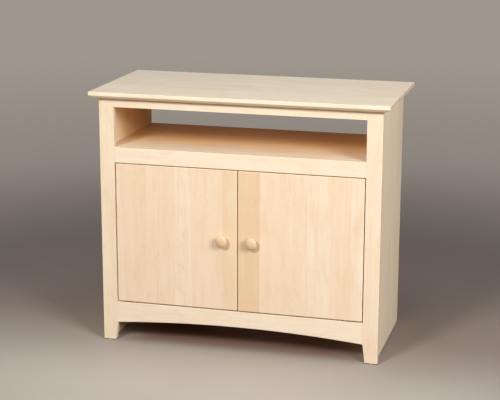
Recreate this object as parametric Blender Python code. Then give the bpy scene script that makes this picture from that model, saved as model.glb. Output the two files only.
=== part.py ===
"""Free-standing maple cabinet: an open bay over a cupboard with two flush doors on pivot hinges.

Metres, +Z up, front towards -Y. The origin is on the floor, under the middle of the top board.
"""
import math

import bmesh
import bpy
from mathutils import Matrix, Vector

# Whole cabinet
HEIGHT = 0.8318             # floor to the top board's upper face
FRAME_WIDTH = 0.9144        # outer edges of the face frame
CASE_DEPTH = 0.4318         # frame face to the rear edges of the sides
FIT = 0.0003                # gap left between seated faces
WOOD_ARRIS = 0.0010         # eased edges of the boards

# Top board
TOP_THICK = 0.0206
TOP_OVER_SIDE = 0.0254      # overhang past the face frame
TOP_OVER_FRONT = 0.0284
TOP_OVER_REAR = 0.0095      # overhang past the sides' rear edges
TOP_BAND = 0.0117           # upright part of its front and side edges
TOP_SLOPE_RUN = 0.0110      # how far the sloped underside of the edge runs in
TOP_ARRIS = 0.0012

# Face frame
FRAME_THICK = 0.01905
STILE_WIDTH = 0.0490
FOOT_WIDTH = 0.0410         # stile at the floor, tapered on its inner side
TOP_RAIL_HEIGHT = 0.0298
BAY_HEIGHT = 0.1300         # opening between the top and middle rails
MIDDLE_RAIL_HEIGHT = 0.0498
BOTTOM_RAIL_HEIGHT = 0.0713  # at its ends
BOTTOM_RAIL_LIFT = 0.0637   # lower edge above the floor, at its ends
ARCH_RISE = 0.0190          # of the bottom rail's lower edge
ARCH_STEPS = 28
TENON_THICK = 0.0063
TENON_LENGTH = 0.0250
TENON_SHOULDER = 0.0060     # above and below each tenon

# Sides, shelves and back
SIDE_THICK = 0.01905
FRAME_LAP = 0.0078          # frame edge proud of the side's outer face
TONGUE_THICK = 0.0058       # side's front edge, let into the stile
TONGUE_DEPTH = 0.0055
DADO_DEPTH = 0.0060
SHELF_THICK = 0.01905
SHELF_SHOULDER = 0.0060     # from a shelf's face down to the tongues in the dados
BACK_THICK = 0.00635
RABBET_WIDTH = 0.0095
BACK_DROP = 0.0030          # back's upper edge below the bay shelf's face
CABLE_HOLE_RADIUS = 0.0254
CABLE_HOLE_LIFT = 0.0700    # its centre above the cupboard's floor
STRETCHER_DEPTH = 0.0760
STRETCHER_THICK = 0.01905

# Adjustable shelf on four pins, in rows of holes
LOOSE_SHELF_LIFT = 0.2350   # its underside above the cupboard's floor
LOOSE_SHELF_GAP = 0.0015    # to each side panel
LOOSE_SHELF_FRONT = 0.0400  # its front edge behind the frame face
LOOSE_SHELF_REAR_GAP = 0.0030
PIN_RADIUS = 0.0025
PIN_HEAD_RADIUS = 0.0038
PIN_HEAD_LENGTH = 0.0090
PIN_SHANK_LENGTH = 0.0080
PIN_HOLE_PITCH = 0.0320
PIN_HOLES_EACH_WAY = 2      # holes above and below the one in use
PIN_INSET = 0.0500          # pin rows from the loose shelf's front and rear edges

# Doors
DOOR_THICK = 0.01905
DOOR_STILE_GAP = 0.0034
DOOR_MEETING_GAP = 0.0030
DOOR_TOP_GAP = 0.0030
DOOR_BOTTOM_GAP = 0.0042
DOOR_ARRIS = 0.0013

# Pivot hinges: a leaf under or over each rail, one on each door edge
PIVOT_INSET = 0.0100        # axis from the door's outer edge
PIVOT_SETBACK = 0.0060      # axis behind the door's face
LEAF_WIDTH = 0.0086
LEAF_LENGTH = 0.0600
LEAF_THICK = 0.0024
LEAF_PROUD = 0.0011         # leaf stands out of its recess
HINGE_PIN_RADIUS = 0.0020
HINGE_PIN_SLACK = 0.00005   # running clearance of the pin in the door leaf
HINGE_PIN_STEPS = 24
WASHER_PLAY = 0.0002        # over and under the washer that fills the space between the leaves
WASHER_RADIUS = 0.0040
LEAF_END_STEPS = 10
HINGE_SCREW_PLACES = (0.0180, 0.0460)   # along the leaf from the axis
HINGE_SCREW_LENGTH = 0.0160
HINGE_SCREW_RADIUS = 0.0014

# Turned knobs
KNOB_RADIUS = 0.0190
KNOB_HEIGHT = 0.0270
KNOB_BASE_RADIUS = 0.0110
KNOB_BASE_HEIGHT = 0.0020
KNOB_NECK_RADIUS = 0.0080
KNOB_NECK_HEIGHT = 0.0080
KNOB_RIM_HEIGHT = 0.0165    # where the head is widest
KNOB_INSET = 0.0472         # centre from the door's meeting edge, at the middle of its height
KNOB_STEPS = 36
KNOB_NECK_STEPS = 4
KNOB_UNDERSIDE_STEPS = 5
KNOB_CROWN_STEPS = 8
BOLT_RADIUS = 0.0020
BOLT_HEAD_RADIUS = 0.0048
BOLT_HEAD_HEIGHT = 0.0022
BOLT_IN_KNOB = 0.0120

# Door stop and magnetic catches
STOP_LENGTH = 0.3000
STOP_THICK = 0.01905
STOP_OVERLAP = 0.0060       # hangs below the doors' top edges
CATCH_PLACE = 0.0600        # centre of each catch from the middle
CATCH_WIDTH = 0.0300
CATCH_FLANGE_WIDTH = 0.0500
CATCH_FLANGE_THICK = 0.0026
CATCH_FLANGE_INSET = 0.0015  # flange in from the case's front and rear
CATCH_DEPTH = 0.0150
CATCH_HEIGHT = 0.0125
MAGNET_WIDTH = 0.0220
MAGNET_HEIGHT = 0.0050
MAGNET_DEPTH = 0.0100
STRIKE_WIDTH = 0.0340
STRIKE_HEIGHT = 0.0120
STRIKE_THICK = 0.0012
STRIKE_SCREW_RADIUS = 0.0014
STRIKE_SCREW_HEAD_RADIUS = 0.0029
STRIKE_SCREW_LIP = 0.0002
STRIKE_SCREW_LENGTH = 0.0110

# Fasteners and glides
WOOD_SCREW_RADIUS = 0.0020
WOOD_SCREW_HEAD_RADIUS = 0.0042
WOOD_SCREW_HEAD_HEIGHT = 0.0022
TOP_SCREW_BITE = 0.0120     # into the top board
TOP_SCREW_INSET = 0.0850    # outer top screws in from the side panels
CATCH_SCREW_LENGTH = 0.0140
SCREW_STEPS = 10
DOME_STEPS = 3
GLIDE_RADIUS = 0.0075
GLIDE_THICK = 0.0032
GLIDE_FLAT_RADIUS = 0.0055  # its flat on the floor
GLIDE_SLOPE_HEIGHT = 0.0013  # sloped edge, from the floor up
GLIDE_NAIL_RADIUS = 0.0013
GLIDE_NAIL_LENGTH = 0.0120
GLIDE_STEPS = 20
GLIDE_REAR_INSET = 0.0350   # rear glides in from the sides' rear edges

# Places worked out from the sizes above
TOP_DEPTH = TOP_OVER_FRONT + CASE_DEPTH + TOP_OVER_REAR
FACE_Y = TOP_OVER_FRONT - TOP_DEPTH / 2
FRAME_REAR_Y = FACE_Y + FRAME_THICK
REAR_Y = FACE_Y + CASE_DEPTH
FRAME_X = FRAME_WIDTH / 2
SIDE_OUT_X = FRAME_X - FRAME_LAP
SIDE_IN_X = SIDE_OUT_X - SIDE_THICK
OPENING_X = FRAME_X - STILE_WIDTH
CASE_TOP_Z = HEIGHT - TOP_THICK
TOP_RAIL_Z = CASE_TOP_Z - TOP_RAIL_HEIGHT
BAY_Z = TOP_RAIL_Z - BAY_HEIGHT
MIDDLE_RAIL_Z = BAY_Z - MIDDLE_RAIL_HEIGHT
BOTTOM_RAIL_TOP_Z = BOTTOM_RAIL_LIFT + BOTTOM_RAIL_HEIGHT
FLOOR_Z = BOTTOM_RAIL_TOP_Z
SHELF_REAR_Y = REAR_Y - BACK_THICK - FIT
DOOR_LOW_Z = BOTTOM_RAIL_TOP_Z + DOOR_BOTTOM_GAP
DOOR_HIGH_Z = MIDDLE_RAIL_Z - DOOR_TOP_GAP
DOOR_OUT_X = OPENING_X - DOOR_STILE_GAP
DOOR_IN_X = DOOR_MEETING_GAP / 2
DOOR_REAR_Y = FACE_Y + DOOR_THICK
PIVOT_X = DOOR_OUT_X - PIVOT_INSET
PIVOT_Y = FACE_Y + PIVOT_SETBACK
CUT = 0.0020                # how far a cutter reaches past the face it opens
SIDES = (("left", -1), ("right", 1))
ENDS = (("front", 0), ("rear", 1))


def material(name, colour, roughness, metallic=0.0):
    made = bpy.data.materials.new(name)
    made.use_nodes = True
    made.diffuse_color = (*colour, 1.0)
    shader = made.node_tree.nodes["Principled BSDF"]
    shader.inputs["Base Color"].default_value = (*colour, 1.0)
    shader.inputs["Roughness"].default_value = roughness
    shader.inputs["Metallic"].default_value = metallic
    return made


def maple(name, shade=1.0):
    return material(name, tuple(shade * part for part in (0.80, 0.64, 0.45)), 0.5)


def steel(name):
    return material(name, (0.62, 0.62, 0.60), 0.35, 1.0)


def brass(name):
    return material(name, (0.72, 0.53, 0.25), 0.35, 1.0)


def add_box(bm, low, high):
    """A box between two opposite corners, whichever way round they are given."""
    low, high = Vector(low), Vector(high)
    size = Vector(abs(b - a) for a, b in zip(low, high))
    place = Matrix.Translation((low + high) / 2) @ Matrix.Diagonal((*size, 1.0))
    return bmesh.ops.create_cube(bm, size=1.0, matrix=place)["verts"]


def boxes(*corner_pairs):
    bm = bmesh.new()
    for low, high in corner_pairs:
        add_box(bm, low, high)
    return bm


def prism(outline, depth):
    """An outline of (x, z) points, carried back along +Y."""
    bm = bmesh.new()
    face = bm.faces.new([bm.verts.new((x, 0.0, z)) for x, z in outline])
    moved = bmesh.ops.extrude_face_region(bm, geom=[face])["geom"]
    verts = [item for item in moved if isinstance(item, bmesh.types.BMVert)]
    bmesh.ops.translate(bm, verts=verts, vec=(0.0, depth, 0.0))
    return bm


def add_turned(bm, profile, place, steps, ring=False):
    """A turned solid: (radius, height) points spun about the local Z axis, then placed."""
    turning = bmesh.new()
    verts = [turning.verts.new((radius, 0.0, height)) for radius, height in profile]
    pairs = list(zip(verts, verts[1:])) + ([(verts[-1], verts[0])] if ring else [])
    edges = [turning.edges.new(pair) for pair in pairs]
    bmesh.ops.spin(turning, geom=verts + edges, cent=(0, 0, 0), axis=(0, 0, 1), dvec=(0, 0, 0),
                   angle=2 * math.pi, steps=steps, use_merge=True, use_duplicate=False)
    bmesh.ops.remove_doubles(turning, verts=turning.verts, dist=1e-7)
    bmesh.ops.transform(turning, matrix=place, verts=turning.verts)
    spun = bpy.data.meshes.new("turning")
    turning.to_mesh(spun)
    turning.free()
    bm.from_mesh(spun)
    bpy.data.meshes.remove(spun)


def turned(profile, steps, places, ring=False):
    bm = bmesh.new()
    for place in places:
        add_turned(bm, profile, place, steps, ring)
    return bm


def ease(bm, width, chosen=lambda middle, along: True):
    """Rounds the edges that chosen(middle, direction) picks."""
    edges = []
    for edge in bm.edges:
        start, end = (vert.co for vert in edge.verts)
        if chosen((start + end) / 2, (end - start).normalized()):
            edges.append(edge)
    bmesh.ops.bevel(bm, geom=edges, offset=width, segments=2, profile=0.5, affect="EDGES")


def finish(name, bm, look, parent=None, smooth=False):
    """Makes a named object of a mesh, with its origin in the middle or on its pivot."""
    bmesh.ops.recalc_face_normals(bm, faces=bm.faces)
    low = Vector(min(vert.co[axis] for vert in bm.verts) for axis in range(3))
    high = Vector(max(vert.co[axis] for vert in bm.verts) for axis in range(3))
    origin = parent.location.copy() if parent else (low + high) / 2
    bmesh.ops.translate(bm, verts=bm.verts, vec=-origin)
    mesh = bpy.data.meshes.new(name)
    bm.to_mesh(mesh)
    bm.free()
    if smooth:
        mesh.shade_smooth()
        mesh.set_sharp_from_angle(angle=math.radians(35))
    made = bpy.data.objects.new(name, mesh)
    bpy.context.collection.objects.link(made)
    if look:
        mesh.materials.append(look)
    if parent:
        made.parent = parent
    else:
        made.location = origin
    return made


def cutter(name, bm):
    made = finish(name, bm, None)
    made.hide_render = True
    made.display_type = "WIRE"
    return made


def carve(target, *tools, operation="DIFFERENCE"):
    for tool in tools:
        step = target.modifiers.new(tool.name, "BOOLEAN")
        step.object = tool
        step.operation = operation
        step.solver = "EXACT"


def facing(place, axis):
    """A matrix that puts a part's local +Z along an axis, at a place."""
    turn = Vector((0, 0, 1)).rotation_difference(Vector(axis)).to_matrix().to_4x4()
    return Matrix.Translation(place) @ turn


def countersunk(slack=0.0):
    """Strike screw with its flat head at height 0 and its shank below; slack makes its hole."""
    top = CUT if slack else 0.0
    shoulder = STRIKE_SCREW_LIP + STRIKE_SCREW_HEAD_RADIUS - STRIKE_SCREW_RADIUS
    head, shank = STRIKE_SCREW_HEAD_RADIUS + slack, STRIKE_SCREW_RADIUS + slack
    tip = -STRIKE_SCREW_LENGTH - slack
    return [(0.0, top), (head, top), (head, -STRIKE_SCREW_LIP), (shank, -shoulder),
            (shank, tip + STRIKE_SCREW_RADIUS), (0.0, tip)]


def round_head(head_radius, head_height, radius, length):
    """Screw profile whose low round head stands on height 0, with its shank below."""
    dome = []
    for step in range(DOME_STEPS + 1):
        part = step / DOME_STEPS * math.pi / 2
        dome.append((head_radius * math.sin(part), head_height * math.cos(part)))
    return dome + [(radius, 0.0), (radius, radius - length), (0.0, -length)]


def shank_hole(radius, length):
    """Hole for a round-headed screw, open past its head's seat."""
    return [(0.0, CUT), (radius + FIT, CUT), (radius + FIT, -length - FIT), (0.0, -length - FIT)]


# Top board ---------------------------------------------------------------------------------

def top_board():
    half, front, rear = FRAME_X + TOP_OVER_SIDE, -TOP_DEPTH / 2, TOP_DEPTH / 2
    low_half, low_front = half - TOP_SLOPE_RUN, front + TOP_SLOPE_RUN
    loops = [[(-half, front), (half, front), (half, rear), (-half, rear)]] * 2
    loops.append([(-low_half, low_front), (low_half, low_front), (low_half, rear), (-low_half, rear)])
    heights = (HEIGHT, HEIGHT - TOP_BAND, CASE_TOP_Z)
    bm = bmesh.new()
    rings = [[bm.verts.new((x, y, z)) for x, y in loop] for loop, z in zip(loops, heights)]
    bm.faces.new(rings[0])
    bm.faces.new(rings[-1])
    for upper, lower in zip(rings, rings[1:]):
        for corner in range(4):
            following = (corner + 1) % 4
            bm.faces.new((upper[corner], upper[following], lower[following], lower[corner]))
    ease(bm, TOP_ARRIS, lambda middle, along: middle.z > CASE_TOP_Z + CUT)
    return finish("top_board", bm, maple("top maple"))


# Face frame --------------------------------------------------------------------------------

def tenon_boxes(low_z, high_z, slack=0.0):
    """Both end tenons of a rail, or with slack the mortises that take them."""
    middle_y = (FACE_Y + FRAME_REAR_Y) / 2
    root = OPENING_X - (0.0 if slack else TENON_SHOULDER)
    pairs = []
    for _, sign in SIDES:
        near = (sign * (root - (CUT if slack else 0.0)), middle_y - TENON_THICK / 2 - slack,
                low_z + TENON_SHOULDER - slack)
        far = (sign * (OPENING_X + TENON_LENGTH + slack), middle_y + TENON_THICK / 2 + slack,
               high_z - TENON_SHOULDER + slack)
        pairs.append((near, far))
    return boxes(*pairs)


def front_long_edges(middle, along):
    return abs(along.x) > 0.9 and middle.y < FACE_Y + CUT / 2


def straight_rail(name, low_z, high_z):
    end = OPENING_X - FIT
    bm = boxes(((-end, FACE_Y, low_z), (end, FRAME_REAR_Y, high_z)))
    ease(bm, WOOD_ARRIS, front_long_edges)
    rail = finish(name, bm, maple(name + " maple", 1.02))
    carve(rail, cutter(name + "_tenons", tenon_boxes(low_z, high_z)), operation="UNION")
    return rail


def arch_height(x):
    """Lower edge of the bottom rail: one arc of a circle, highest in the middle."""
    radius = (OPENING_X ** 2 + ARCH_RISE ** 2) / (2 * ARCH_RISE)
    return BOTTOM_RAIL_LIFT + ARCH_RISE - radius + math.sqrt(radius ** 2 - x ** 2)


def bottom_rail():
    end = OPENING_X - FIT
    arch = [end * (2 * step / ARCH_STEPS - 1) for step in range(ARCH_STEPS + 1)]
    outline = [(x, arch_height(x)) for x in arch]
    outline += [(end, BOTTOM_RAIL_TOP_Z), (-end, BOTTOM_RAIL_TOP_Z)]
    bm = prism(outline, FRAME_THICK)
    bmesh.ops.translate(bm, verts=bm.verts, vec=(0.0, FACE_Y, 0.0))
    ease(bm, WOOD_ARRIS, front_long_edges)
    rail = finish("bottom_rail", bm, maple("bottom rail maple", 1.0))
    tenons = cutter("bottom_rail_tenons", tenon_boxes(BOTTOM_RAIL_LIFT, BOTTOM_RAIL_TOP_Z))
    carve(rail, tenons, operation="UNION")
    return rail


def stile(side, sign, mortises, glide_holes):
    outline = [(OPENING_X, BOTTOM_RAIL_LIFT), (OPENING_X, CASE_TOP_Z - FIT),
               (FRAME_X, CASE_TOP_Z - FIT), (FRAME_X, GLIDE_THICK + FIT),
               (FRAME_X - FOOT_WIDTH, GLIDE_THICK + FIT)]
    bm = prism([(sign * x, z) for x, z in outline], FRAME_THICK)
    bmesh.ops.translate(bm, verts=bm.verts, vec=(0.0, FACE_Y, 0.0))
    ease(bm, WOOD_ARRIS, lambda middle, along: abs(along.z) > 0.9 and
         middle.y < FACE_Y + CUT / 2 and (abs(middle.x) > FRAME_X - CUT or middle.z < BOTTOM_RAIL_LIFT))
    made = finish("stile_" + side, bm, maple(side + " stile maple", 1.02))
    middle_x = (SIDE_IN_X + SIDE_OUT_X) / 2
    groove = cutter(side + "_stile_groove", boxes((
        (sign * (middle_x - TONGUE_THICK / 2 - FIT), FRAME_REAR_Y - TONGUE_DEPTH - FIT, -CUT),
        (sign * (middle_x + TONGUE_THICK / 2 + FIT), FRAME_REAR_Y + CUT, HEIGHT))))
    carve(made, groove, *mortises, glide_holes)
    return made


# Case --------------------------------------------------------------------------------------

def pin_columns():
    return (FACE_Y + LOOSE_SHELF_FRONT + PIN_INSET, SHELF_REAR_Y - LOOSE_SHELF_REAR_GAP - PIN_INSET)


def pin_height():
    return FLOOR_Z + LOOSE_SHELF_LIFT - PIN_HEAD_RADIUS - FIT


def side_panel(side, sign, glide_holes):
    front_y, low_z, high_z = FRAME_REAR_Y + FIT, GLIDE_THICK + FIT, CASE_TOP_Z - FIT
    bm = boxes(((sign * SIDE_IN_X, front_y, low_z), (sign * SIDE_OUT_X, REAR_Y, high_z)))
    ease(bm, WOOD_ARRIS, lambda middle, along: abs(along.z) > 0.9 and middle.y > REAR_Y - CUT
         or middle.z < low_z + CUT and abs(along.y) > 0.9)
    panel = finish("side_panel_" + side, bm, maple(side + " side maple", 0.96))
    middle_x = (SIDE_IN_X + SIDE_OUT_X) / 2
    tongue = cutter(side + "_tongue", boxes((
        (sign * (middle_x - TONGUE_THICK / 2), FRAME_REAR_Y - TONGUE_DEPTH, low_z + CUT),
        (sign * (middle_x + TONGUE_THICK / 2), front_y + CUT, high_z - CUT))))
    inner, deep = SIDE_IN_X - CUT, SIDE_IN_X + DADO_DEPTH + FIT
    grooves = [(face_z - SHELF_THICK - FIT, face_z - SHELF_SHOULDER + FIT)
               for face_z in (FLOOR_Z, BAY_Z)]
    dados = cutter(side + "_dados", boxes(*(
        ((sign * inner, front_y - CUT, low), (sign * deep, REAR_Y - BACK_THICK, high))
        for low, high in grooves)))
    notch_z = CASE_TOP_Z - FIT - STRETCHER_THICK - FIT
    notches = cutter(side + "_stretcher_notches", boxes(
        ((sign * inner, front_y - CUT, notch_z),
         (sign * deep, FRAME_REAR_Y + STRETCHER_DEPTH + 2 * FIT, HEIGHT)),
        ((sign * inner, REAR_Y - STRETCHER_DEPTH - FIT, notch_z), (sign * deep, REAR_Y + CUT, HEIGHT))))
    rabbet = cutter(side + "_rabbet", boxes((
        (sign * inner, REAR_Y - BACK_THICK - FIT, -CUT),
        (sign * (SIDE_IN_X + RABBET_WIDTH + FIT), REAR_Y + CUT, BAY_Z - BACK_DROP + FIT))))
    hole = [(0.0, -CUT), (PIN_RADIUS + FIT, -CUT), (PIN_RADIUS + FIT, PIN_SHANK_LENGTH + FIT),
            (0.0, PIN_SHANK_LENGTH + FIT)]
    rows = range(-PIN_HOLES_EACH_WAY, PIN_HOLES_EACH_WAY + 1)
    pin_holes = cutter(side + "_pin_holes", turned(hole, SCREW_STEPS, [
        facing((sign * SIDE_IN_X, y, pin_height() + row * PIN_HOLE_PITCH), (sign, 0, 0))
        for row in rows for y in pin_columns()]))
    carve(panel, tongue, operation="UNION")
    carve(panel, dados, notches, rabbet, pin_holes, glide_holes)
    return panel


def fixed_shelf(name, face_z):
    """A shelf whose face butts between the sides, over the tongues that run into their dados."""
    half, shoulder_x = SIDE_IN_X + DADO_DEPTH, SIDE_IN_X - FIT
    low_z, tongue_z = face_z - SHELF_THICK, face_z - SHELF_SHOULDER
    right_half = [(half, low_z), (half, tongue_z), (shoulder_x, tongue_z), (shoulder_x, face_z)]
    front_y = FRAME_REAR_Y + FIT
    bm = prism(right_half + [(-x, z) for x, z in reversed(right_half)], SHELF_REAR_Y - front_y)
    bmesh.ops.translate(bm, verts=bm.verts, vec=(0.0, front_y, 0.0))
    return finish(name, bm, maple(name + " maple", 0.98))


def stretcher(name, front_y, screw_holes):
    half = SIDE_IN_X + DADO_DEPTH
    high_z = CASE_TOP_Z - FIT
    bm = boxes(((-half, front_y, high_z - STRETCHER_THICK), (half, front_y + STRETCHER_DEPTH, high_z)))
    ease(bm, WOOD_ARRIS, lambda middle, along: abs(along.x) > 0.9 and middle.z < high_z - CUT)
    made = finish(name, bm, maple(name + " maple", 0.95))
    carve(made, screw_holes)
    return made


def back_panel():
    half = SIDE_IN_X + RABBET_WIDTH
    low_z, high_z = FLOOR_Z - SHELF_THICK, BAY_Z - BACK_DROP
    bm = boxes(((-half, REAR_Y - BACK_THICK, low_z), (half, REAR_Y, high_z)))
    panel = finish("back_panel", bm, material("back ply", (0.72, 0.56, 0.38), 0.6))
    hole = [(0.0, -CUT), (CABLE_HOLE_RADIUS, -CUT), (CABLE_HOLE_RADIUS, BACK_THICK + CUT),
            (0.0, BACK_THICK + CUT)]
    place = facing((0.0, REAR_Y - BACK_THICK, FLOOR_Z + CABLE_HOLE_LIFT), (0, 1, 0))
    carve(panel, cutter("cable_hole", turned(hole, KNOB_STEPS, [place])))
    return panel


def loose_shelf():
    half = SIDE_IN_X - LOOSE_SHELF_GAP
    low_z = FLOOR_Z + LOOSE_SHELF_LIFT
    bm = boxes(((-half, FACE_Y + LOOSE_SHELF_FRONT, low_z),
                (half, SHELF_REAR_Y - LOOSE_SHELF_REAR_GAP, low_z + SHELF_THICK)))
    ease(bm, WOOD_ARRIS)
    return finish("adjustable_shelf", bm, maple("adjustable shelf maple", 0.98))


def shelf_pins():
    profile = [(0.0, PIN_SHANK_LENGTH), (PIN_RADIUS, PIN_SHANK_LENGTH), (PIN_RADIUS, -FIT),
               (PIN_HEAD_RADIUS, -FIT), (PIN_HEAD_RADIUS, -PIN_HEAD_LENGTH), (0.0, -PIN_HEAD_LENGTH)]
    for side, sign in SIDES:
        for end, column in ENDS:
            name = f"shelf_pin_{end}_{side}"
            place = facing((sign * SIDE_IN_X, pin_columns()[column], pin_height()), (sign, 0, 0))
            finish(name, turned(profile, SCREW_STEPS * 2, [place]), steel(name + " steel"), smooth=True)


# Fasteners of the case ---------------------------------------------------------------------

def top_screw_places():
    """Screws up through both stretchers, by name."""
    seat_z = CASE_TOP_Z - FIT - STRETCHER_THICK - FIT
    rows = (FRAME_REAR_Y + FIT + STRETCHER_DEPTH / 2, REAR_Y - STRETCHER_DEPTH / 2)
    spread = SIDE_IN_X - TOP_SCREW_INSET
    return {f"top_screw_{end}_{along}": facing((x, rows[row], seat_z), (0, 0, -1))
            for end, row in ENDS
            for along, x in (("left", -spread), ("middle", 0.0), ("right", spread))}


def wood_screws(places, length):
    profile = round_head(WOOD_SCREW_HEAD_RADIUS, WOOD_SCREW_HEAD_HEIGHT, WOOD_SCREW_RADIUS, length)
    for name, place in places.items():
        finish(name, turned(profile, SCREW_STEPS, [place]), steel(name + " steel"), smooth=True)


def wood_screw_holes(name, places, length):
    return cutter(name, turned(shank_hole(WOOD_SCREW_RADIUS, length), SCREW_STEPS, places.values()))


def glide_places():
    rear_x = (SIDE_IN_X + SIDE_OUT_X) / 2
    return {corner: facing((sign * x, y, GLIDE_THICK), (0, 0, 1))
            for side, sign in SIDES
            for corner, x, y in (
                ("front_" + side, FRAME_X - FOOT_WIDTH / 2, FACE_Y + FRAME_THICK / 2),
                ("rear_" + side, rear_x, REAR_Y - GLIDE_REAR_INSET))}


def glides(places):
    profile = [(0.0, -GLIDE_THICK), (GLIDE_FLAT_RADIUS, -GLIDE_THICK),
               (GLIDE_RADIUS, GLIDE_SLOPE_HEIGHT - GLIDE_THICK), (GLIDE_RADIUS, 0.0),
               (GLIDE_NAIL_RADIUS, 0.0), (GLIDE_NAIL_RADIUS, GLIDE_NAIL_LENGTH), (0.0, GLIDE_NAIL_LENGTH)]
    for corner, place in places.items():
        nylon = material(corner + " glide nylon", (0.78, 0.75, 0.68), 0.45)
        finish("glide_" + corner, turned(profile, GLIDE_STEPS, [place]), nylon, smooth=True)


def glide_nail_holes(places):
    reach = GLIDE_NAIL_LENGTH + FIT
    profile = [(0.0, -CUT), (GLIDE_NAIL_RADIUS + FIT, -CUT), (GLIDE_NAIL_RADIUS + FIT, reach), (0.0, reach)]
    return cutter("glide_nail_holes", turned(profile, SCREW_STEPS, places.values()))


# Pivot hinges ------------------------------------------------------------------------------

def leaf_outline(sign, slack=0.0):
    """A leaf from above: round about the axis, square at its far end, towards the middle."""
    radius = LEAF_WIDTH / 2 + slack
    arc = [math.pi * (0.5 + step / LEAF_END_STEPS) for step in range(LEAF_END_STEPS + 1)]
    points = [(radius * math.cos(angle), radius * math.sin(angle)) for angle in arc]
    far = LEAF_LENGTH - LEAF_WIDTH / 2 + slack
    points += [(far, -radius), (far, radius)]
    return [(sign * PIVOT_X - sign * x, PIVOT_Y + y) for x, y in points]


def leaf_body(sign, low_z, high_z, slack=0.0):
    bm = bmesh.new()
    face = bm.faces.new([bm.verts.new((x, y, low_z)) for x, y in leaf_outline(sign, slack)])
    moved = bmesh.ops.extrude_face_region(bm, geom=[face])["geom"]
    verts = [item for item in moved if isinstance(item, bmesh.types.BMVert)]
    bmesh.ops.translate(bm, verts=verts, vec=(0.0, 0.0, high_z - low_z))
    return bm


class Hinge:
    """One pivot hinge, between a rail and a door edge. up is 1 when the door is above the rail."""

    def __init__(self, label, side, sign, rail_z, door_z, up):
        self.label, self.side, self.sign, self.up = label, side, sign, up
        self.frame_face = rail_z + up * LEAF_PROUD
        self.door_face = door_z - up * LEAF_PROUD
        self.rail_z, self.door_z = rail_z, door_z

    def round_at(self, name, along, face_z, up, radius, low, high, steps=SCREW_STEPS):
        """A round cutter at a distance along the leaf; its heights run from the leaf's face."""
        profile = [(0.0, low), (radius, low), (radius, high), (0.0, high)]
        place = facing((self.sign * (PIVOT_X - along), PIVOT_Y, face_z), (0, 0, up))
        return cutter(f"{name}_{self.label}", turned(profile, steps, [place]))

    def shanks(self, name, face_z, up, slack=0.0):
        """The leaf's two screws below its face or, with slack, their holes in the wood."""
        low = -HINGE_SCREW_LENGTH - slack
        return [self.round_at(f"{name}_{number}", along, face_z, up, HINGE_SCREW_RADIUS + slack,
                              low, -LEAF_THICK / 2)
                for number, along in enumerate(HINGE_SCREW_PLACES)]

    def frame_leaf(self):
        name = "frame_leaf_" + self.label
        seat = self.frame_face - self.up * LEAF_THICK
        made = finish(name, leaf_body(self.sign, seat, self.frame_face), brass(name + " brass"))
        tip = abs(self.door_face - self.frame_face) + LEAF_THICK - FIT
        pin = self.round_at("frame_pin", 0.0, self.frame_face, self.up, HINGE_PIN_RADIUS,
                            -LEAF_THICK / 2, tip, HINGE_PIN_STEPS)
        carve(made, pin, *self.shanks("frame_shank", self.frame_face, self.up), operation="UNION")
        return made

    def door_leaf(self, pivot):
        name = "door_leaf_" + self.label
        seat = self.door_face + self.up * LEAF_THICK
        made = finish(name, leaf_body(self.sign, seat, self.door_face), brass(name + " brass"), pivot)
        bore = self.round_at("door_bore", 0.0, self.door_face, self.up,
                             HINGE_PIN_RADIUS + HINGE_PIN_SLACK, -CUT, LEAF_THICK + CUT, HINGE_PIN_STEPS)
        carve(made, *self.shanks("door_shank", self.door_face, -self.up), operation="UNION")
        carve(made, bore)
        return made

    def let_into_frame(self, rail):
        deep = self.frame_face - self.up * (LEAF_THICK + FIT)
        recess = leaf_body(self.sign, deep, self.rail_z + self.up * CUT, FIT)
        carve(rail, cutter("frame_recess_" + self.label, recess),
              *self.shanks("frame_hole", self.frame_face, self.up, FIT))

    def let_into_door(self, panel):
        deep = self.door_face + self.up * (LEAF_THICK + FIT)
        recess = leaf_body(self.sign, deep, self.door_z - self.up * CUT, FIT)
        carve(panel, cutter("door_recess_" + self.label, recess),
              *self.shanks("door_hole", self.door_face, -self.up, FIT))

    def washer(self):
        thick = abs(self.door_face - self.frame_face) - 2 * WASHER_PLAY
        low, high = -thick / 2, thick / 2
        inner = HINGE_PIN_RADIUS + HINGE_PIN_SLACK
        profile = [(inner, low), (WASHER_RADIUS, low), (WASHER_RADIUS, high), (inner, high)]
        middle = (self.frame_face + self.door_face) / 2
        place = facing((self.sign * PIVOT_X, PIVOT_Y, middle), (0, 0, 1))
        name = "washer_" + self.label
        bronze = material(name + " bronze", (0.55, 0.36, 0.2), 0.4, 1.0)
        return finish(name, turned(profile, HINGE_PIN_STEPS, [place], ring=True), bronze)


def make_hinges():
    return [Hinge(level + "_" + side, side, sign, rail_z, door_z, up)
            for side, sign in SIDES
            for level, rail_z, door_z, up in (
                ("upper", MIDDLE_RAIL_Z, DOOR_HIGH_Z, -1),
                ("lower", BOTTOM_RAIL_TOP_Z, DOOR_LOW_Z, 1))]


# Doors -------------------------------------------------------------------------------------

def knob_place(sign):
    middle_z = (DOOR_LOW_Z + DOOR_HIGH_Z) / 2
    return Vector((sign * (DOOR_IN_X + KNOB_INSET), FACE_Y, middle_z))


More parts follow.
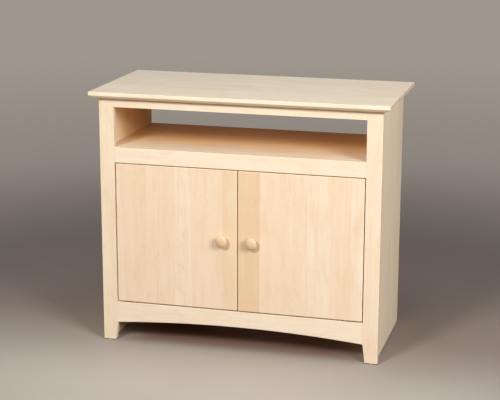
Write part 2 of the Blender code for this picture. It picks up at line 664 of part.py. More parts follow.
def knob_profile():
    """From the screw hole, over the base and the hollow neck, round the head to its top."""
    hole_radius, hole_depth = BOLT_RADIUS + FIT, BOLT_IN_KNOB + FIT
    points = [(0.0, hole_depth), (hole_radius, hole_depth), (hole_radius, 0.0),
              (KNOB_BASE_RADIUS, 0.0), (KNOB_BASE_RADIUS, KNOB_BASE_HEIGHT)]
    for step in range(1, KNOB_NECK_STEPS + 1):
        part = step / KNOB_NECK_STEPS * math.pi / 2
        points.append((KNOB_NECK_RADIUS + (KNOB_BASE_RADIUS - KNOB_NECK_RADIUS) * (1 - math.sin(part)),
                       KNOB_NECK_HEIGHT - (KNOB_NECK_HEIGHT - KNOB_BASE_HEIGHT) * math.cos(part)))
    for step in range(1, KNOB_UNDERSIDE_STEPS + 1):
        part = step / KNOB_UNDERSIDE_STEPS * math.pi / 2
        points.append((KNOB_NECK_RADIUS + (KNOB_RADIUS - KNOB_NECK_RADIUS) * math.sin(part),
                       KNOB_RIM_HEIGHT - (KNOB_RIM_HEIGHT - KNOB_NECK_HEIGHT) * math.cos(part)))
    for step in range(1, KNOB_CROWN_STEPS + 1):
        part = step / KNOB_CROWN_STEPS * math.pi / 2
        points.append((KNOB_RADIUS * math.cos(part),
                       KNOB_RIM_HEIGHT + (KNOB_HEIGHT - KNOB_RIM_HEIGHT) * math.sin(part)))
    points[-1] = (0.0, KNOB_HEIGHT)
    return points


def strike_place(sign):
    """Middle of the strike plate, on the door's rear face in front of its catch."""
    return Vector((sign * CATCH_PLACE, DOOR_REAR_Y, DOOR_HIGH_Z - STOP_OVERLAP - CATCH_HEIGHT / 2 - FIT))


def door(side, sign, pivot, hinges):
    bm = boxes(((sign * DOOR_IN_X, FACE_Y, DOOR_LOW_Z), (sign * DOOR_OUT_X, DOOR_REAR_Y, DOOR_HIGH_Z)))
    ease(bm, DOOR_ARRIS)
    panel = finish("door_" + side, bm, maple(side + " door maple"), pivot)

    knob_at = knob_place(sign)
    shell = facing(knob_at + Vector((0, -FIT, 0)), (0, -1, 0))
    finish("knob_" + side, turned(knob_profile(), KNOB_STEPS, [shell]),
           maple(side + " knob maple", 0.97), pivot, smooth=True)
    bolt_length = DOOR_THICK + FIT + BOLT_IN_KNOB
    bolt_seat = facing(knob_at + Vector((0, DOOR_THICK + FIT, 0)), (0, 1, 0))
    bolt = round_head(BOLT_HEAD_RADIUS, BOLT_HEAD_HEIGHT, BOLT_RADIUS, bolt_length)
    finish("knob_screw_" + side, turned(bolt, SCREW_STEPS * 2, [bolt_seat]),
           steel(side + " knob screw steel"), pivot, smooth=True)
    bolt_hole = cutter(side + "_knob_hole", turned(shank_hole(BOLT_RADIUS, DOOR_THICK + CUT),
                                                   SCREW_STEPS, [bolt_seat]))

    spot = strike_place(sign)
    half = Vector((STRIKE_WIDTH / 2, 0, STRIKE_HEIGHT / 2))
    plate = boxes((spot - half + Vector((0, FIT, 0)), spot + half + Vector((0, FIT + STRIKE_THICK, 0))))
    strike = finish("strike_" + side, plate, steel(side + " strike steel"), pivot)
    screw_face = [facing(spot + Vector((0, FIT + STRIKE_THICK, 0)), (0, 1, 0))]
    strike_hole = cutter(side + "_strike_hole", turned(countersunk(FIT), SCREW_STEPS, screw_face))
    carve(strike, strike_hole)
    finish("strike_screw_" + side, turned(countersunk(), SCREW_STEPS, screw_face),
           steel(side + " strike screw steel"), pivot, smooth=True)

    for hinge in hinges:
        hinge.door_leaf(pivot)
        hinge.let_into_door(panel)
    carve(panel, bolt_hole, strike_hole)
    return panel


# Door stop and catches ---------------------------------------------------------------------

def catch_screw_places():
    seat_z = DOOR_HIGH_Z - STOP_OVERLAP - FIT - CATCH_FLANGE_THICK - FIT
    along = (CATCH_WIDTH + CATCH_FLANGE_WIDTH) / 4
    y = catch_front_y() + CATCH_DEPTH / 2
    return {f"catch_screw_{side}_{end}": facing((sign * (CATCH_PLACE + step * along), y, seat_z), (0, 0, -1))
            for side, sign in SIDES
            for end, step in (("inner", -1), ("outer", 1))}


def catch_front_y():
    return DOOR_REAR_Y + STRIKE_THICK + 3 * FIT


def door_stop(screw_holes):
    low_z, high_z = DOOR_HIGH_Z - STOP_OVERLAP, BAY_Z - SHELF_THICK - FIT
    front_y = max(DOOR_REAR_Y, FRAME_REAR_Y) + FIT
    bm = boxes(((-STOP_LENGTH / 2, front_y, low_z), (STOP_LENGTH / 2, front_y + STOP_THICK, high_z)))
    ease(bm, WOOD_ARRIS)
    made = finish("door_stop", bm, maple("door stop maple", 0.95))
    carve(made, screw_holes)
    return made


def catch(side, sign, screw_holes):
    """A flanged case under the door stop, and the magnet in its open front."""
    high_z = DOOR_HIGH_Z - STOP_OVERLAP - FIT
    middle_x, front_y = sign * CATCH_PLACE, catch_front_y()
    bm = boxes(((middle_x - CATCH_WIDTH / 2, front_y, high_z - CATCH_HEIGHT),
                (middle_x + CATCH_WIDTH / 2, front_y + CATCH_DEPTH, high_z)))
    plastic = material(side + " catch plastic", (0.62, 0.55, 0.42), 0.5)
    case = finish("catch_" + side, bm, plastic)
    flange = cutter(side + "_catch_flange", boxes((
        (middle_x - CATCH_FLANGE_WIDTH / 2, front_y + CATCH_FLANGE_INSET, high_z - CATCH_FLANGE_THICK),
        (middle_x + CATCH_FLANGE_WIDTH / 2, front_y + CATCH_DEPTH - CATCH_FLANGE_INSET, high_z - FIT))))
    pocket_z = high_z - (CATCH_HEIGHT + CATCH_FLANGE_THICK) / 2
    half_width, half_height = MAGNET_WIDTH / 2, MAGNET_HEIGHT / 2
    pocket = cutter(side + "_catch_pocket", boxes((
        (middle_x - half_width - FIT, front_y - CUT, pocket_z - half_height - FIT),
        (middle_x + half_width + FIT, front_y + MAGNET_DEPTH + FIT, pocket_z + half_height + FIT))))
    carve(case, flange, operation="UNION")
    carve(case, pocket, screw_holes)
    magnet = boxes(((middle_x - half_width, front_y - FIT, pocket_z - half_height),
                    (middle_x + half_width, front_y + MAGNET_DEPTH, pocket_z + half_height)))
    finish("magnet_" + side, magnet, steel(side + " magnet steel"))


def build():
    for old in list(bpy.data.objects):
        bpy.data.objects.remove(old, do_unlink=True)

    top_length = STRETCHER_THICK + 2 * FIT + TOP_SCREW_BITE
    top_holes = wood_screw_holes("top_screw_holes", top_screw_places(), top_length)
    catch_holes = wood_screw_holes("catch_screw_holes", catch_screw_places(), CATCH_SCREW_LENGTH)
    glide_spots = glide_places()
    glide_holes = glide_nail_holes(glide_spots)

    board = top_board()
    carve(board, top_holes)

    mortises = [cutter(name + "_mortises", tenon_boxes(low, high, FIT)) for name, low, high in (
        ("top_rail", TOP_RAIL_Z, CASE_TOP_Z), ("middle_rail", MIDDLE_RAIL_Z, BAY_Z),
        ("bottom_rail", BOTTOM_RAIL_LIFT, BOTTOM_RAIL_TOP_Z))]
    straight_rail("top_rail", TOP_RAIL_Z, CASE_TOP_Z - FIT)
    rails = {-1: straight_rail("middle_rail", MIDDLE_RAIL_Z, BAY_Z), 1: bottom_rail()}
    hinges = make_hinges()
    for hinge in hinges:
        hinge.frame_leaf()
        hinge.let_into_frame(rails[hinge.up])
        hinge.washer()

    for side, sign in SIDES:
        stile(side, sign, mortises, glide_holes)
        side_panel(side, sign, glide_holes)
    fixed_shelf("bay_shelf", BAY_Z)
    fixed_shelf("cabinet_floor", FLOOR_Z)
    stretcher("front_stretcher", FRAME_REAR_Y + FIT, top_holes)
    stretcher("rear_stretcher", REAR_Y - STRETCHER_DEPTH, top_holes)
    back_panel()
    loose_shelf()
    shelf_pins()
    wood_screws(top_screw_places(), top_length)
    glides(glide_spots)

    for side, sign in SIDES:
        pivot = bpy.data.objects.new(side + "_door_axis", None)
        pivot.location = (sign * PIVOT_X, PIVOT_Y, 0.0)
        bpy.context.collection.objects.link(pivot)
        door(side, sign, pivot, [hinge for hinge in hinges if hinge.side == side])

    door_stop(catch_holes)
    for side, sign in SIDES:
        catch(side, sign, catch_holes)
    wood_screws(catch_screw_places(), CATCH_SCREW_LENGTH)


build()
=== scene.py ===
"""Looks of a maple television cabinet: procedural wood on every board, brass hinges, turned knobs."""
import math
import random
from typing import NamedTuple

import bmesh
import bpy
from mathutils import Matrix, Vector


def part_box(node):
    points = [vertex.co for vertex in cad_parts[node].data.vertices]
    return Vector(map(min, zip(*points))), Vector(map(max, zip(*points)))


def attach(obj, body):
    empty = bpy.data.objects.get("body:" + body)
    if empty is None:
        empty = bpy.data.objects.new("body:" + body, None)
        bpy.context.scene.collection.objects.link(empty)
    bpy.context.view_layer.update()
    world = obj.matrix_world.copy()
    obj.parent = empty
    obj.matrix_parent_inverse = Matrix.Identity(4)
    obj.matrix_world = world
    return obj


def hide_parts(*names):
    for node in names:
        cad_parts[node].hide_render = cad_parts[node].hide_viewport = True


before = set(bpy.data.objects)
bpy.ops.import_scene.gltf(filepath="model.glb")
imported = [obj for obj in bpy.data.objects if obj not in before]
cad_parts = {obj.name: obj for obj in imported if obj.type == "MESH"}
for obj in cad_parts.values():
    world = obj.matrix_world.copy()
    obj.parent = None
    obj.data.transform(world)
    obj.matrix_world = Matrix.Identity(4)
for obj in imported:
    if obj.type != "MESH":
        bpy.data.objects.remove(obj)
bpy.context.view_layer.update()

SIDES = ("left", "right")

# Camera, in metres and degrees. The lens and sensor, in mm, go with a frame 500 pixels wide.
CAMERA_PLACE = (1.1466, -4.3086, 1.5756)
CAMERA_YAW = 15.081
CAMERA_DOWN = 14.102
CAMERA_ROLL = 0.142
CAMERA_LENS = 100.58
CAMERA_SENSOR = 36.0
CAMERA_REACH = 60.0

# Maple colours, linear: pale ground, honey and rosy tones, edges paled by painted highlight and wear, and
# the growth lines
PALE = (0.900, 0.785, 0.625)
HONEY = (0.800, 0.585, 0.375)
ROSY = (0.870, 0.680, 0.510)
HIGHLIGHT_CREAM = (0.950, 0.840, 0.670)
LINE = (0.620, 0.395, 0.215)

# Painted shade: amber multiplies the wood inside the case, where warm shade falls, setting in between
# these depths behind the doors' fronts, and the edges of the doors, where the gaps round them lie in
# shade.
PAINTED_SHADE_AMBER = (0.950, 0.730, 0.480)
PAINTED_SHADE_DEPTHS = (0.040, 0.180)

# Edge-glued staves: the seams of each board across its width, in metres, and for each stave its
# tone, from pale to honey, and its share of rose
DOOR_SEAMS = {
    "left": (-0.375, -0.306, -0.210, -0.152, -0.049),
    "right": (0.071, 0.155, 0.224, 0.302, 0.363),
}
DOOR_TONES = {
    "left": (0.50, 0.60, 0.52, 0.37, 0.48, 0.70),
    "right": (0.96, 0.56, 0.46, 0.40, 0.58, 0.38),
}
DOOR_BLUSHES = {
    "left": (0.40, 0.45, 0.30, 0.00, 0.55, 0.05),
    "right": (0.00, 0.45, 0.35, 0.10, 0.50, 0.15),
}
TOP_SEAMS = (-0.152, -0.071, 0.012, 0.083, 0.160)
TOP_TONES = (0.24, 0.08, 0.30, 0.14, 0.26, 0.06)
TOP_BLUSHES = (0.10, 0.00, 0.15, 0.00, 0.12, 0.00)
SIDE_SEAMS = (-0.118, -0.034, 0.047, 0.129)
SIDE_TONES = (0.22, 0.14, 0.26, 0.16, 0.30)
SIDE_BLUSHES = (0.12, 0.00, 0.10, 0.05, 0.15)
SHELF_SEAMS = (-0.105, -0.018, 0.060, 0.142)
# The shelf's staves run from front to rear and grow warmer towards the rear: stave tones, and partly
# painted shade.
SHELF_TONES_AND_SHADE = (0.04, 0.22, 0.36, 0.34, 0.50)

# Where no tones or blushes are given, they are drawn from these ranges
DRAWN_TONES = (0.36, 0.64)
DRAWN_BLUSHES = (0.0, 0.5)


# Node helpers ------------------------------------------------------------------------------

class Tree:
    """The nodes of a material or a world, and short ways to add to them.

    A value is a socket, a number or a colour.
    """

    def __init__(self, owner):
        self.owner = owner
        owner.use_nodes = True
        self.nodes = owner.node_tree.nodes
        self.links = owner.node_tree.links

    def add(self, kind, **settings):
        node = self.nodes.new(kind)
        for key, value in settings.items():
            setattr(node, key, value)
        return node

    def put(self, value, socket):
        if isinstance(value, bpy.types.NodeSocket):
            self.links.new(value, socket)
        else:
            socket.default_value = value

    def shade(self, **values):
        """Sets inputs of a material's shader, named with underscores for spaces."""
        shader = self.nodes["Principled BSDF"]
        for name, value in values.items():
            self.put(value, shader.inputs[name.replace("_", " ")])

    def math(self, operation, *values, clamp=False):
        node = self.add("ShaderNodeMath", operation=operation, use_clamp=clamp)
        for value, socket in zip(values, node.inputs):
            self.put(value, socket)
        return node.outputs[0]

    def times(self, first, second):
        return self.math("MULTIPLY", first, second)

    def size(self, value):
        return self.math("ABSOLUTE", value)

    def larger(self, first, second):
        return self.math("MAXIMUM", first, second)

    def vector(self, operation, *values):
        node = self.add("ShaderNodeVectorMath", operation=operation)
        for value, socket in zip(values, node.inputs):
            self.put(value, socket)
        return node.outputs["Value" if operation == "LENGTH" else "Vector"]

    def split(self, vector):
        node = self.add("ShaderNodeSeparateXYZ")
        self.put(vector, node.inputs[0])
        return node.outputs

    def join(self, x, y, z):
        node = self.add("ShaderNodeCombineXYZ")
        for value, socket in zip((x, y, z), node.inputs):
            self.put(value, socket)
        return node.outputs[0]

    def noise(self, vector, scale, detail, rough=0.5, seed=None, distort=0.0):
        node = self.add("ShaderNodeTexNoise", noise_dimensions="4D" if seed is not None else "3D")
        self.put(vector, node.inputs["Vector"])
        if seed is not None:
            self.put(seed, node.inputs["W"])
        node.inputs["Scale"].default_value = scale
        node.inputs["Detail"].default_value = detail
        node.inputs["Roughness"].default_value = rough
        node.inputs["Distortion"].default_value = distort
        return node.outputs[0]

    def fit(self, value, low, high, new_low=0.0, new_high=1.0, smooth=False):
        """Maps low to high onto the new range and holds it at its ends."""
        node = self.add("ShaderNodeMapRange", interpolation_type="SMOOTHSTEP" if smooth else "LINEAR")
        for given, socket in zip((value, low, high, new_low, new_high), node.inputs):
            self.put(given, socket)
        return node.outputs[0]

    def mix(self, share, first, second, blend="MIX"):
        node = self.add("ShaderNodeMix", data_type="RGBA", blend_type=blend)
        colour_a, colour_b = node.inputs[6], node.inputs[7]
        self.put(share, node.inputs[0])
        for value, socket in ((first, colour_a), (second, colour_b)):
            self.put((*value, 1.0) if isinstance(value, tuple) else value, socket)
        return node.outputs[2]

    def tint(self, share, colour, multiplier):
        """Multiplies a colour by another, to the given share."""
        return self.mix(share, colour, self.mix(1.0, colour, multiplier, "MULTIPLY"))

    def steps(self, value, stops):
        """A ramp of flat steps: (position, grey) pairs."""
        node = self.add("ShaderNodeValToRGB")
        ramp = node.color_ramp
        ramp.interpolation = "CONSTANT"
        while len(ramp.elements) < len(stops):
            ramp.elements.new(1.0)
        for element, (position, grey) in zip(ramp.elements, stops):
            element.position = position
            element.color = (grey, grey, grey, 1.0)
        self.put(value, node.inputs[0])
        return node.outputs[0]

    def bump(self, height, distance, strength, normal=None):
        node = self.add("ShaderNodeBump")
        node.inputs["Strength"].default_value = strength
        node.inputs["Distance"].default_value = distance
        self.put(height, node.inputs["Height"])
        if normal is not None:
            self.put(normal, node.inputs["Normal"])
        return node.outputs[0]

    def seen(self):
        """One for camera, glossy and transmission rays, and nil for the rest."""
        rays = self.add("ShaderNodeLightPath").outputs
        return self.larger(rays["Is Camera Ray"],
                           self.larger(rays["Is Glossy Ray"], rays["Is Transmission Ray"]))


# Maple -------------------------------------------------------------------------------------

class Figure(NamedTuple):
    """A noise of the wood: how fine it runs along and across the grain, then its settings."""
    along: float
    across: float
    scale: float
    detail: float
    rough: float
    distort: float = 0.0


DRIFT = Figure(1.6, 5.0, 1.0, 2.0, 0.5)
STREAKS = Figure(1.0, 22.0, 3.2, 3.0, 0.6)
FIBRES = Figure(1.0, 34.0, 42.0, 2.0, 0.6)
FLECKS = Figure(1.0, 34.0, 90.0, 1.0, 0.5)
CLOUDS = Figure(1.0, 5.0, 9.0, 3.0, 0.6, 0.8)
MARKS = Figure(1.0, 5.0, 48.0, 2.0, 0.6, 1.2)
RIPPLE = Figure(3.2, 1.0, 26.0, 2.0, 0.5, 0.6)
MOTTLE_SCALE = 9.0
LAYER_SCALE = 190.0

# How strongly each shows in the colour
CLOUD_SHARE = 0.26
LINE_SHARES = (0.10, 0.34)
FIBRE_SHARE = 0.10
FLECK_SHARE = 0.16
MARK_SHARE = 0.32
CURL_SHARE = 0.16

# Relief of fibres, pores and growth layers, in metres
FIBRE_RELIEF = 0.00012
PORE_RELIEF = 0.00008
LAYER_RELIEF = 0.00020

# The heart of the tree has its own place for each stave, in metres from the cabinet's middle. The
# layers lean and waver a little along the board.
HEART_ACROSS = 0.07
HEART_DEPTH = 0.12
HEART_DEPTH_SPREAD = 0.05
LAYER_LEAN = 0.02
LAYER_WAVER = 0.075

# Glue lines between the staves: half their width in metres, that times which they have faded out,
# and their strength
SEAM_HALF_WIDTH = 0.00018
SEAM_FADE = 3.2
SEAM_SHARE = 0.30


class Board(Tree):
    """The figure of one maple board as sockets, from growth layers round the tree's distant
    heart, so that faces and end grain agree.

    along and across are axes of the cabinet; low and high are the board's edges across. u runs
    along the board, v across it and w through it.
    """

    def __init__(self, name, along, across, low, high, seams, tones, blushes, seed):
        super().__init__(bpy.data.materials.new(name))
        self.low, self.high = low, high
        self.seams = [seam for seam in seams if low < seam < high]
        place = self.add("ShaderNodeTexCoord").outputs
        self.axes = self.split(place["Object"])
        self.facing = self.split(place["Normal"])
        along, across = "xyz".index(along), "xyz".index(across)
        self.u, self.v, self.w = (self.axes[index] for index in (along, across, 3 - along - across))
        self.end_facing, self.edge_facing = self.facing[along], self.facing[across]

        rng = random.Random(seed)
        tones = tones or [rng.uniform(*DRAWN_TONES) for _ in range(len(seams) + 1)]
        blushes = blushes or [rng.uniform(*DRAWN_BLUSHES) for _ in range(len(seams) + 1)]
        self.share = self.fit(self.v, low, high)
        self.stave = self.stave_values(tones)
        self.blush = self.stave_values(blushes)
        self.code = self.math("MULTIPLY_ADD", self.stave, 37.0, float(seed))

        self.streaks = self.figure(STREAKS)
        self.fibres = self.figure(FIBRES)
        self.flecks = self.figure(FLECKS)
        self.clouds = self.figure(CLOUDS)
        self.mottle = self.noise(place["Object"], MOTTLE_SCALE, 2.0, 0.5, self.code)
        self.layers = self.growth_layers()
        self.lines = self.fit(self.layers, 0.52, 0.78, smooth=True)
        self.marks = self.times(self.fit(self.figure(MARKS), 0.60, 0.72, smooth=True),
                                self.fit(self.mottle, 0.42, 0.62))
        self.curl = self.curly_bands()
        self.end = self.fit(self.size(self.end_facing), 0.72, 0.93, smooth=True)

    def stave_values(self, values):
        """One value for each stave."""
        edges = [self.low] + self.seams
        width = self.high - self.low
        return self.steps(self.share, [((edge - self.low) / width, value)
                                       for edge, value in zip(edges, values)])

    def figure(self, kind):
        place = self.join(self.times(self.u, kind.along), self.times(self.v, kind.across),
                          self.times(self.w, kind.across))
        return self.noise(place, kind.scale, kind.detail, kind.rough, self.code, kind.distort)

    def growth_layers(self):
        """Rings round the heart, leaning a little along the board."""
        lean = self.math("MULTIPLY_ADD", self.figure(DRIFT), LAYER_WAVER, self.times(self.u, LAYER_LEAN))
        heart = self.times(self.math("SINE", self.times(self.code, 9.7)), HEART_ACROSS)
        depth = self.math("MULTIPLY_ADD", self.math("COSINE", self.times(self.code, 5.3)),
                          HEART_DEPTH_SPREAD, HEART_DEPTH)
        radius = self.vector("LENGTH", self.join(0.0, self.math("SUBTRACT", self.v, heart),
                                                 self.math("ADD", self.w, depth)))
        growth = self.math("ADD", radius, lean)
        return self.noise(self.join(growth, 0.0, 0.0), LAYER_SCALE, 3.0, 0.62, self.code)

    def curly_bands(self):
        """Soft bands across the grain, in patches of some of the staves."""
        patches = self.fit(self.mottle, 0.50, 0.62, smooth=True)
        some_staves = self.fit(self.math("SINE", self.times(self.code, 7.7)), 0.0, 0.4)
        return self.times(self.fit(self.figure(RIPPLE), 0.40, 0.62), self.times(patches, some_staves))

    def wood(self, shade, figure, grain):
        """The colour of the wood. figure and grain are the strength of its clouds and lines."""
        pale, honey, rosy, line = (tuple(shade * part for part in colour)
                                   for colour in (PALE, HONEY, ROSY, LINE))
        warmth = self.math("MULTIPLY_ADD", self.fit(self.streaks, 0.3, 0.72), 0.40,
                           self.fit(self.stave, 0.2, 0.95, -0.16, 0.84))
        warmth = self.math("ADD", warmth, self.fit(self.mottle, 0.3, 0.7, -0.10, 0.10), clamp=True)
        toned = self.mix(warmth, pale, honey)
        toned = self.mix(self.blush, toned, rosy)
        clouded = self.fit(self.clouds, 0.46, 0.66, 0.0, CLOUD_SHARE * figure, smooth=True)
        toned = self.mix(clouded, toned, honey)
        drawn = self.fit(self.streaks, 0.35, 0.65, *(share * grain for share in LINE_SHARES))
        toned = self.mix(self.times(self.lines, drawn), toned, line)
        toned = self.mix(self.fit(self.fibres, 0.55, 0.75, 0.0, FIBRE_SHARE), toned, LINE)
        toned = self.mix(self.fit(self.flecks, 0.66, 0.72, 0.0, FLECK_SHARE), toned, LINE)
        toned = self.mix(self.times(self.marks, MARK_SHARE * figure), toned, LINE)
        toned = self.mix(self.times(self.curl, CURL_SHARE * figure), toned, HONEY)
        ending = self.mix(self.math("MULTIPLY_ADD", self.lines, 0.45, 0.30), toned, LINE)
        return self.mix(self.end, toned, ending)

    def seamed(self, toned):
        """Thin glue lines between the staves."""
        width = self.high - self.low
        line = SEAM_HALF_WIDTH / width
        mask = None
        for seam in self.seams:
            near = self.size(self.math("SUBTRACT", self.share, (seam - self.low) / width))
            one = self.fit(near, line, SEAM_FADE * line, 1.0, 0.0, smooth=True)
            mask = one if mask is None else self.larger(mask, one)
        if mask is None:
            return toned
        return self.mix(self.times(mask, SEAM_SHARE), toned, LINE)

    def painted_case_shade(self, toned, axis, direction):
        """Painted shade: amber on the face that lies inside the case, deeper towards the rear."""
        turned_in = self.times(self.facing["xyz".index(axis)], float(direction))
        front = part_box("door_left")[0][1]
        deep = self.fit(self.axes["Y"], *(front + depth for depth in PAINTED_SHADE_DEPTHS))
        return self.tint(self.times(self.fit(turned_in, 0.3, 0.8), deep), toned, PAINTED_SHADE_AMBER)

    def painted_edge_shade(self, toned, share):
        """Painted shade: amber on the narrow faces across the board and at its ends, as in the shaded
        gaps round the doors.
        """
        narrow = self.larger(self.size(self.edge_facing), self.size(self.end_facing))
        return self.tint(self.fit(narrow, 0.8, 0.95, 0.0, share), toned, PAINTED_SHADE_AMBER)

    def worn_edges(self, toned, share):
        """Paler where the shape turns from one face into the next: painted highlight on the eased edges,
        and wear.
        """
        largest = 0.0
        for part in self.facing[:3]:
            largest = self.larger(self.size(part), largest)
        return self.mix(self.fit(largest, 0.90, 0.99, share, 0.0), toned, HIGHLIGHT_CREAM)

    def roughness(self, middle):
        """Matt, and more so in the end grain."""
        matt = self.math("ADD", self.fit(self.fibres, 0.3, 0.7, middle - 0.05, middle + 0.05),
                         self.times(self.end, 0.14))
        return self.math("ADD", matt, self.fit(self.mottle, 0.3, 0.7, -0.04, 0.04))

    def relief(self):
        """Fibres, pores and a faint wave of the growth layers and the curl."""
        fine = self.bump(self.fibres, FIBRE_RELIEF, 0.5)
        pores = self.bump(self.fit(self.flecks, 0.62, 0.72, 1.0, 0.0), PORE_RELIEF, 0.5, fine)
        wave = self.math("ADD", self.layers, self.times(self.curl, 0.5))
        return self.bump(wave, LAYER_RELIEF, 0.3, pores)


def maple(name, along, across, low, high, seams=(), tones=None, blushes=None, seed=0, shade=1.0,
          figure=1.0, grain=1.0, worn=0.45, sheen=0.0, specular=0.15, rough=0.56, inner=None, edged=0.0):
    """Solid maple. figure and grain are the strength of its clouds and lines, worn pales its edges as
    painted highlight and wear, inner is the axis and direction of the face that lies inside the case,
    which gets painted amber shade, and edged is the share of painted amber shade on its narrow faces.
    """
    board = Board(name, along, across, low, high, seams, tones, blushes, seed)
    toned = board.seamed(board.wood(shade, figure, grain))
    # Painted shade: amber on the faces inside the case and on the narrow faces.
    if inner:
        toned = board.painted_case_shade(toned, *inner)
    if edged:
        toned = board.painted_edge_shade(toned, edged)
    # The pale edges are painted highlight on the eased edges, and wear.
    board.shade(Base_Color=board.worn_edges(toned, worn), Roughness=board.roughness(rough),
                Normal=board.relief(), Specular_IOR_Level=specular, Sheen_Weight=sheen,
                Sheen_Roughness=0.45)
    return board.owner


# Other materials ---------------------------------------------------------------------------

PLY_FACE = ((0.79, 0.62, 0.43), (0.66, 0.46, 0.28))
PLY_EDGE = ((0.74, 0.56, 0.37), (0.42, 0.26, 0.14))
PLY_PAIRS = 2.5   # pairs of a pale and a dark ply


def plywood(name, low, high):
    """Plywood back between two depths: broad rotary-cut figure on its faces, plies on its edges."""
    tree = Tree(bpy.data.materials.new(name))
    place = tree.add("ShaderNodeTexCoord").outputs
    x, y, z = tree.split(place["Object"])
    facing = tree.split(place["Normal"])
    bend = tree.noise(tree.join(tree.times(x, 2.2), 0.0, tree.times(z, 0.7)), 1.6, 3.0)
    bent = tree.math("ADD", x, tree.times(bend, 0.22))
    broad = tree.noise(tree.join(bent, 0.0, tree.times(z, 0.06)), 26.0, 3.0, 0.62)
    fibres = tree.noise(tree.join(tree.times(x, 30.0), 0.0, z), 40.0, 2.0, 0.6)
    toned = tree.mix(tree.fit(broad, 0.35, 0.68, smooth=True), *PLY_FACE)
    toned = tree.mix(tree.fit(fibres, 0.55, 0.75, 0.0, 0.18), toned, LINE)
    plies = tree.math("FRACT", tree.times(tree.fit(y, low, high), PLY_PAIRS))
    ply = tree.mix(tree.fit(plies, 0.44, 0.52, smooth=True), *PLY_EDGE)
    edge = tree.fit(tree.size(facing["Y"]), 0.4, 0.6, 1.0, 0.0)
    tree.shade(Base_Color=tree.mix(edge, toned, ply), Roughness=tree.fit(fibres, 0.3, 0.7, 0.52, 0.66),
               Normal=tree.bump(fibres, FIBRE_RELIEF, 0.5), Specular_IOR_Level=0.35)
    return tree.owner


def metal(name, colour, dark, roughness, brush=(1.0, 1.0, 1.0)):
    """Bare or plated metal with fine scratches along its brushing and a little tarnish."""
    tree = Tree(bpy.data.materials.new(name))
    place = tree.add("ShaderNodeTexCoord").outputs["Object"]
    scratch = tree.noise(tree.vector("MULTIPLY", place, brush), 900.0, 3.0, 0.65)
    tarnish = tree.noise(place, 60.0, 3.0, 0.55)
    toned = tree.mix(tree.fit(tarnish, 0.42, 0.72, 0.0, 0.7, smooth=True), colour, dark)
    toned = tree.mix(tree.fit(scratch, 0.5, 0.8, 0.0, 0.25), toned, dark)
    rough = tree.math("ADD", tree.fit(tarnish, 0.3, 0.7, roughness - 0.06, roughness + 0.12),
                      tree.fit(scratch, 0.3, 0.7, -0.04, 0.06))
    tree.shade(Base_Color=toned, Roughness=rough, Normal=tree.bump(scratch, 0.00003, 0.6), Metallic=1.0)
    return tree.owner


def plastic(name, colour, dark, roughness):
    """Moulded plastic: a fine spark-eroded grain and slight soiling."""
    tree = Tree(bpy.data.materials.new(name))
    place = tree.add("ShaderNodeTexCoord").outputs["Object"]
    grain = tree.noise(place, 1800.0, 2.0, 0.5)
    soil = tree.noise(place, 120.0, 3.0, 0.6)
    toned = tree.mix(tree.fit(soil, 0.45, 0.75, 0.0, 0.5, smooth=True), colour, dark)
    tree.shade(Base_Color=toned, Roughness=tree.fit(soil, 0.3, 0.7, roughness - 0.05, roughness + 0.08),
               Normal=tree.bump(grain, 0.00004, 0.5))
    return tree.owner


# Dressing the nodes ------------------------------------------------------------------------

def dress(node, look):
    """Gives a node's own object a finish through its material slots."""
    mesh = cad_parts[node].data
    if not mesh.materials:
        mesh.materials.append(look)
    for index in range(len(mesh.materials)):
        mesh.materials[index] = look


def span(node, axis):
    """The low and high end of a node's box on one axis."""
    low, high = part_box(node)
    index = "xyz".index(axis)
    return low[index], high[index]


def dress_board(node, along, across, seams=(), **settings):
    """Gives a board maple that spans its own box."""
    dress(node, maple(node + "_finish", along, across, *span(node, across), seams, **settings))


def dress_boards():
    # The faces inside the case get painted amber shade, and the doors' narrow faces too.
    dress_board("top_board", "x", "y", TOP_SEAMS, tones=TOP_TONES, blushes=TOP_BLUSHES, seed=3,
                figure=1.3, grain=1.3, sheen=0.14, specular=0.08, rough=0.66, inner=("z", -1))
    dress_board("top_rail", "x", "z", seed=11, tones=(0.20,))
    dress_board("middle_rail", "x", "z", seed=12, tones=(0.16,))
    dress_board("bottom_rail", "x", "z", seed=13, tones=(0.20,))
    dress_board("stile_left", "z", "x", seed=14, tones=(0.40,))
    dress_board("stile_right", "z", "x", seed=15, tones=(0.28,))
    dress_board("bay_shelf", "x", "y", SHELF_SEAMS, tones=SHELF_TONES_AND_SHADE, seed=18, inner=("z", 1))
    dress_board("cabinet_floor", "x", "y", SHELF_SEAMS, seed=19)
    dress_board("adjustable_shelf", "x", "y", SHELF_SEAMS, seed=20)
    dress_board("front_stretcher", "x", "y", seed=21)
    dress_board("rear_stretcher", "x", "y", seed=22)
    dress_board("door_stop", "x", "z", seed=23)
    for number, side in enumerate(SIDES):
        dress_board("side_panel_" + side, "z", "y", SIDE_SEAMS, tones=SIDE_TONES,
                    blushes=SIDE_BLUSHES, seed=16 + number, inner=("x", (1, -1)[number]))
        # Their edges are paler: painted highlight on the eased edges, and wear.
        dress_board("door_" + side, "z", "x", DOOR_SEAMS[side], tones=DOOR_TONES[side],
                    blushes=DOOR_BLUSHES[side], seed=31 + number, figure=1.5, grain=0.6, worn=0.65,
                    edged=0.45)
    dress("back_panel", plywood("back_panel_finish", *span("back_panel", "y")))


